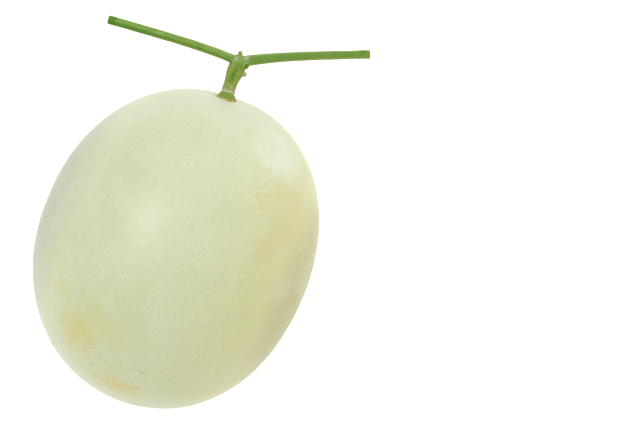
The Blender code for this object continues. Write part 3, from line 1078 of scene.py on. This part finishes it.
def scarred_knot(tone, own_place, foot):
    """Grey scars on the knot and pale dots on the stalk."""
    for offset, reach in (((0.95, 2.2, 3.8), 1.9), ((3.3, -2.8, 2.0), 2.1), ((-2.2, 2.9, 3.6), 1.0)):
        scar = patch(own_place, KNOT / MM + Vector(offset), reach, (1, 1, 1.6))
        tone = over(tone, scar * 0.7, "#C3C1AE")
    dots = flecks(own_place, 1.9, 0.16, 0.30) * step_up(foot, 21.3, 13.3) * step_up(foot, 4, 6)
    return over(tone, dots * 0.8, "#DDE3C6")


def cut_faces(tone, own_place):
    """Green pith inside a dark rim on the arms, dark wet stubs, and one stub that healed pale."""
    tree = tone.tree
    share = reading(tree, "cut_share")
    pores = clouds(own_place, 0.35, 2)
    pith = mixed(step_up(share + (pores - 0.5) * 0.3, 0.25, 0.75), paint("#A9B640"), paint("#8A9E14"))
    pith = over(pith, step_up(share, 0.82, 0.98), "#5F8420")
    tone = mixed(reading(tree, "tip_cut"), tone, pith)
    dark = mixed(step_up(share, 0.74, 0.98), paint("#5A8400"), paint("#B5CF7C"))
    tone = mixed(reading(tree, "stub_cut"), tone, dark)
    healed = mixed(step_up(pores, 0.4, 0.6), paint("#C9B872"), paint("#B4C27C"))
    return mixed(reading(tree, "pale_cut") * 0.8, tone, healed)


def make_stem_finish():
    material, tree, shader = new_finish("green_stem")
    own_place = reading(tree, "own_place", "Vector")
    along, across, high = split(reading(tree, "bark_place", "Vector"))
    foot = reading(tree, "foot_height")
    on_stalk = reading(tree, "on_stalk")

    long_fibre = clouds(join(tree, along * 0.06, across, high), 0.5, 3, 0.55)
    broad = clouds(own_place, 5.0, 3)
    tone = mixed(step_up(long_fibre, 0.34, 0.66), paint("#76993A"), paint("#90B258"))
    tone = over(tone, step_up(broad, 0.45, 0.72) * 0.5, "#85A832")
    tone = banded_arms(tone, own_place, 1 - on_stalk, reading(tree, "is_left"),
                       reading(tree, "tip_gap"))
    tone = furrowed_stalk(tone, own_place, on_stalk, foot, across, high)
    tone = corky_collar(tone, own_place, foot)
    tone = cut_faces(scarred_knot(tone, own_place, foot), own_place)
    fine_height, fine_shade = grain(own_place, 0.5, 3.0)
    tone = over(tone, fine_shade * 0.12, "#527A1C")

    roughness = 0.42 + broad * 0.2 + fine_shade * 0.05
    wire(shader, tone, roughness, fine_height * 0.6 + long_fibre, depth=0.10 * MM, strength=0.5)
    waxy(shader, weight=0.08, radius=(0.6, 1.0, 0.3), scale=1.0 * MM, specular=0.25)
    return material


STEM_GREEN = make_stem_finish()
stem.data.materials.clear()
stem.data.materials.append(STEM_GREEN)
report(stem)

# %% [markdown]
# ## Cork
# Cork is dry, dead and rough. It edges the collar, closes the stretch cracks near the blossom end
# and covers the blossom scar. One function makes it in the three tones that this melon has.

# %% Cork finish
def make_cork_finish(name, dark, light, deep):
    material, tree, shader = new_finish(name)
    place = fruit_place(tree)
    patchy = clouds(place, 1.3, 4, 0.6)
    tone = mixed(step_up(patchy, 0.35, 0.65), paint(dark), paint(light))
    fine_height, fine_shade = grain(place, 0.35, 5.0)
    tone = over(tone, fine_shade * 0.35, deep)
    roughness = 0.75 + patchy * 0.2
    wire(shader, tone, roughness, fine_height + patchy, depth=0.15 * MM, strength=0.6)
    shader.inputs["Specular IOR Level"].default_value = 0.2
    return material


CORK = make_cork_finish("dry_cork", "#D8B868", "#EEE0AE", "#C4A456")
HEALED = make_cork_finish("healed_skin", "#C2AC66", "#DCD29C", "#B79C5A")
PORE = make_cork_finish("pale_pore", "#BFCB98", "#E2E8C8", "#A9B87C")
print("cork finishes:", [finish.name for finish in (CORK, HEALED, PORE)])

# %% [markdown]
# ## The corky edge of the collar
# Where the stalk flares on to the skin, a thin uneven ring of cork seals the joint. It is a circle
# with a wandering radius, swept with a small round profile.

# %% Corky ring under the collar
def make_ring_tree():
    tree, given = new_tree("cork_ring", "GeometryNodeTree", {
        "Line": (GEOMETRY, None), "Roughness Height": (FLOAT, 0.0001),
        "Roughness Size": (FLOAT, 0.001), "Sides": (INT, 12), "Finish": (MATERIAL, None)},
        {"Geometry": GEOMETRY})
    line = flow(tree, "GeometryNodeMeshToCurve", {0: given["Line"]})
    circle = flow(tree, "GeometryNodeCurvePrimitiveCircle",
                  {"Resolution": given["Sides"], "Radius": 1.0})
    ring = flow(tree, "GeometryNodeCurveToMesh",
                {"Curve": line, "Profile Curve": circle, "Scale": held(tree, "thickness")})
    rough = roughened(tree, ring, given["Roughness Size"], given["Roughness Height"])
    end_tree(tree, rough, given["Finish"])
    return tree


def on_skin(left, top):
    """Point of the skin at the stem end, dip included, in the fruit's frame."""
    reach = math.hypot(left - STALK_OFFSET, top - BASIN_LIFT) / BASIN_RADIUS
    sunk = BASIN_DEPTH * math.exp(-reach * reach)
    return Vector((skin_along(math.hypot(left + BEND, top)) - sunk, left, top))


COLLAR_WANDER = 0.5 * MM
COLLAR_RIPPLE = 0.18 * MM
COLLAR_RISE = 0.9 * MM                      # the ring lies further out above the stalk


def collar_ring(name, radius, thickness, steps=120):
    """A wandering closed ring on the skin round the stalk."""
    ring_points, radii = [], []
    for step in range(steps):
        turn = 2 * math.pi * step / steps
        wander = noise.noise(Vector((math.cos(turn) * 2, math.sin(turn) * 2, 1.5)))
        ripple = noise.noise(Vector((math.cos(turn) * 8, math.sin(turn) * 8, 4.5)))
        reach = radius + wander * COLLAR_WANDER + ripple * COLLAR_RIPPLE
        reach += COLLAR_RISE * max(math.cos(turn), 0) ** 2
        ring_points.append(on_skin(STALK_OFFSET + reach * math.sin(turn),
                                   FOOT_RISE + reach * math.cos(turn)))
        radii.append(thickness * (1 + 0.7 * wander + 1.1 * ripple))
    mesh = line_mesh(ring_points, radii, closed=True)
    mesh.transform(FRUIT_TO_FLOOR)
    return grow(make_ring_tree(), name, mesh, roughness_height=0.12 * MM, roughness_size=0.7 * MM,
                sides=12, finish=CORK)


collar_cork = collar_ring("collar_cork", 5.3 * MM, 0.40 * MM)
report(collar_cork)

# %% [markdown]
# ## Healed cracks
# The blossom end grew fast, and its skin has a few short cracks that healed with cork. Each is a
# row of low pointed mounds along the way it split. The same small shape is set on points of the
# skin, turned to lie on it, so Geometry Nodes instances do it.

# %% Healed cracks
def make_marks_tree():
    tree, given = new_tree("skin_marks", "GeometryNodeTree", {
        "Points": (GEOMETRY, None), "Rings": (INT, 6), "Segments": (INT, 10),
        "Finish": (MATERIAL, None)}, {"Geometry": GEOMETRY})
    bead = flow(tree, "GeometryNodeMeshUVSphere",
                {"Segments": given["Segments"], "Rings": given["Rings"], "Radius": 1.0})
    dots = flow(tree, "GeometryNodeMeshToPoints", {0: given["Points"]})
    upright = flow(tree, "FunctionNodeAlignRotationToVector",
                   {"Vector": held(tree, "outward", "FLOAT_VECTOR")}, axis="Z")
    turned = flow(tree, "FunctionNodeAlignRotationToVector",
                  {"Rotation": upright, "Vector": held(tree, "lengthwise", "FLOAT_VECTOR")},
                  axis="X", pivot_axis="Z")
    set_out = flow(tree, "GeometryNodeInstanceOnPoints",
                   {"Points": dots, "Instance": bead, "Rotation": turned,
                    "Scale": held(tree, "size", "FLOAT_VECTOR")})
    end_tree(tree, set_out, given["Finish"])
    return tree


def skin_normal(spot):
    """Outward way of the skin at a point, in the fruit's frame."""
    off_axis = math.hypot(spot.y, spot.z)
    power = MELON_FULLNESS - 1
    along = math.copysign(abs(spot.x) ** power, spot.x) / (MELON_LENGTH / 2) ** MELON_FULLNESS
    away = off_axis ** power / (MELON_DIAMETER / 2) ** MELON_FULLNESS
    return Vector((along, away * spot.y / off_axis, away * spot.z / off_axis)).normalized()


def crack_beads(along, turn, length, lean, seed, count=5):
    """Beads in a row that make one crack: places, outward ways, lengthwise ways and sizes."""
    lean = math.radians(lean)
    girth = skin_spot(along, turn).yz.length
    round_way = Vector((math.sin(lean), math.cos(math.radians(turn)), -math.sin(math.radians(turn))))
    beads = []
    for index in range(count):
        share = index / (count - 1) * 2 - 1
        shake = noise.noise(Vector((seed * 3.7, index * 1.3, 0)))
        step_along = share * length / 2 * math.sin(lean) + shake * 0.35
        step_turn = math.degrees(share * length / 2 * math.cos(lean) / girth)
        spot = skin_spot(along + step_along, turn + step_turn) * MM
        outward = skin_normal(spot)
        spot.y -= BEND * (spot.x / (MELON_LENGTH / 2)) ** 2
        width = 0.30 * (1 - share * share * 0.8) * (1 + shake * 0.5)
        size = Vector((length / count * 0.85, width, 0.12)) * MM
        beads.append((spot, outward, round_way, size))
    return beads


def bead_mesh(beads, placing):
    """Points with the attributes that turn and size each bead, put in place by a matrix."""
    mesh = bpy.data.meshes.new("beads")
    turn = placing.to_3x3()
    spots, outward, lengthwise, sizes = zip(*beads)
    mesh.from_pydata([placing @ spot for spot in spots], [], [])
    keep(mesh, "outward", np.array([turn @ way for way in outward]))
    keep(mesh, "lengthwise", np.array([turn @ way for way in lengthwise]))
    keep(mesh, "size", np.array(sizes))
    return mesh


MARKS_TREE = make_marks_tree()
CRACKS = (                                  # along and length in mm, turn and lean in degrees
    (-66, 17, 2.6, 0), (-61, 9, 1.8, 10), (-60, -1, 2.2, -10), (-58, -12, 5.5, 4),
    (-60, -21, 2.4, 12), (-69, -14, 3.0, -6), (-70, 58, 3.2, 8), (-66, -95, 2.8, 5),
    (-71, 128, 3.4, -8), (-68, 170, 2.6, 10))
beads = [bead for seed, crack in enumerate(CRACKS) for bead in crack_beads(*crack, seed)]
cracks = grow(MARKS_TREE, "healed_cracks", bead_mesh(beads, FRUIT_TO_FLOOR), rings=6,
              segments=10, finish=HEALED)
report(cracks)

# %% [markdown]
# ## Pale pores on the stem
# A shoot breathes through small raised pores. They are the same beads as in the cracks, set at
# random on the bark, with more of them on the stalk than on the arms.

# %% Pale pores on the stem
PORE_COUNT = 96
PORE_SEED = 11


def read_values(mesh, name):
    """One stored number for each point."""
    values = np.empty(len(mesh.vertices))
    mesh.attributes[name].data.foreach_get("value", values)
    return values


def pore_beads(mesh, count, seed):
    """Seeded places on the bark of a stem, away from the cut ends, as beads."""
    chance = np.random.default_rng(seed)
    places, outward = read_points(mesh)
    foot = read_values(mesh, "foot_height")
    allowed = np.flatnonzero((read_values(mesh, "tip_gap") > 4) & (foot > 5))
    on_stalk = allowed[foot[allowed] < 18]
    picked = np.concatenate([chance.choice(on_stalk, count // 3), chance.choice(allowed, count)])
    beads = []
    for index in picked:
        size = (0.10 + 0.13 * chance.random() ** 2) * MM
        way = Vector(outward[index])
        beads.append((Vector(places[index]), way, way.orthogonal(),
                      Vector((size * 1.5, size, size * 0.55))))
    return beads


pore_points = bead_mesh(pore_beads(stem.data, PORE_COUNT, PORE_SEED), Matrix.Identity(4))
pores = grow(MARKS_TREE, "stem_pores", pore_points, rings=4, segments=8, finish=PORE)
report(pores)

# %% [markdown]
# ## The blossom scar
# The blossom left a round corky scar at the very end: a low disc with a raised uneven rim, faint
# rays and a small point in the middle. It is a grid of rings and sides laid on the skin by formula,
# with a base that reaches into the fruit so that no gap shows under it.

# %% Blossom scar
SCAR_RADIUS = 4.6 * MM
RIM_HEIGHT = 0.35 * MM
RIM_AT, RIM_WIDTH = 0.80, 0.14              # shares of the radius
RAY_HEIGHT = 0.22 * MM
POINT_HEIGHT = 0.25 * MM
POINT_WIDTH = 0.22                          # share of the radius
EDGE_SINK = 0.35 * MM                       # the outermost ring dips into the skin
SCAR_DEPTH = 1.2 * MM


def scar_height(share, turn):
    """Height of the scar over the skin, at a share of its radius."""
    ray = noise.noise(Vector((math.cos(turn) * 7, math.sin(turn) * 7, share * 2)))
    height = RIM_HEIGHT * math.exp(-((share - RIM_AT) / RIM_WIDTH) ** 2) + ray * RAY_HEIGHT * share
    height += POINT_HEIGHT * math.exp(-(share / POINT_WIDTH) ** 2)
    return height - EDGE_SINK * (share > 0.99)


def scar_place(share, turn):
    """A point of the scar in the fruit's frame."""
    wander = noise.noise(Vector((math.cos(turn) * 1.8, math.sin(turn) * 1.8, 8)))
    reach = SCAR_RADIUS * share * (1 + 0.16 * wander * share)
    surface = -skin_along(reach) - 0.08 * MM
    return (surface - scar_height(share, turn), reach * math.cos(turn) - BEND,
            reach * math.sin(turn))


def make_scar(name, rings=14, sides=72):
    """A closed disc from rings of points, each joined to the next, and a flat base."""
    scar = bmesh.new()
    grid = [[scar.verts.new(scar_place(ring / rings, 2 * math.pi * side / sides))
             for side in range(sides)] for ring in range(rings + 1)]
    grid.append([scar.verts.new(vert.co + Vector((SCAR_DEPTH, 0, 0))) for vert in grid[-1]])
    for inner, outer in zip(grid, grid[1:]):
        for side in range(sides):
            after = (side + 1) % sides
            scar.faces.new((inner[side], inner[after], outer[after], outer[side]))
    scar.faces.new(grid[-1])
    bmesh.ops.remove_doubles(scar, verts=scar.verts, dist=0.001 * MM)
    bmesh.ops.recalc_face_normals(scar, faces=scar.faces)
    mesh = bpy.data.meshes.new(name)
    scar.to_mesh(mesh)
    scar.free()
    mesh.shade_smooth()
    mesh.transform(FRUIT_TO_FLOOR)
    mesh.materials.append(CORK)
    return place_object(name, mesh)


blossom_scar = make_scar("blossom_scar")
report(blossom_scar)

# %% [markdown]
# ## Putting the pieces on the body
# Each finished piece rides on the one body of the model, and the imported plain melon and stem are
# hidden.

# %% Ride and replace
for piece, slot in ((rind, "rind"), (stem, "stem"), (collar_cork, "stem"), (cracks, "rind"),
                    (pores, "stem"), (blossom_scar, "rind")):
    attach(piece, "root")
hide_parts("melon")
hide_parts("stem")
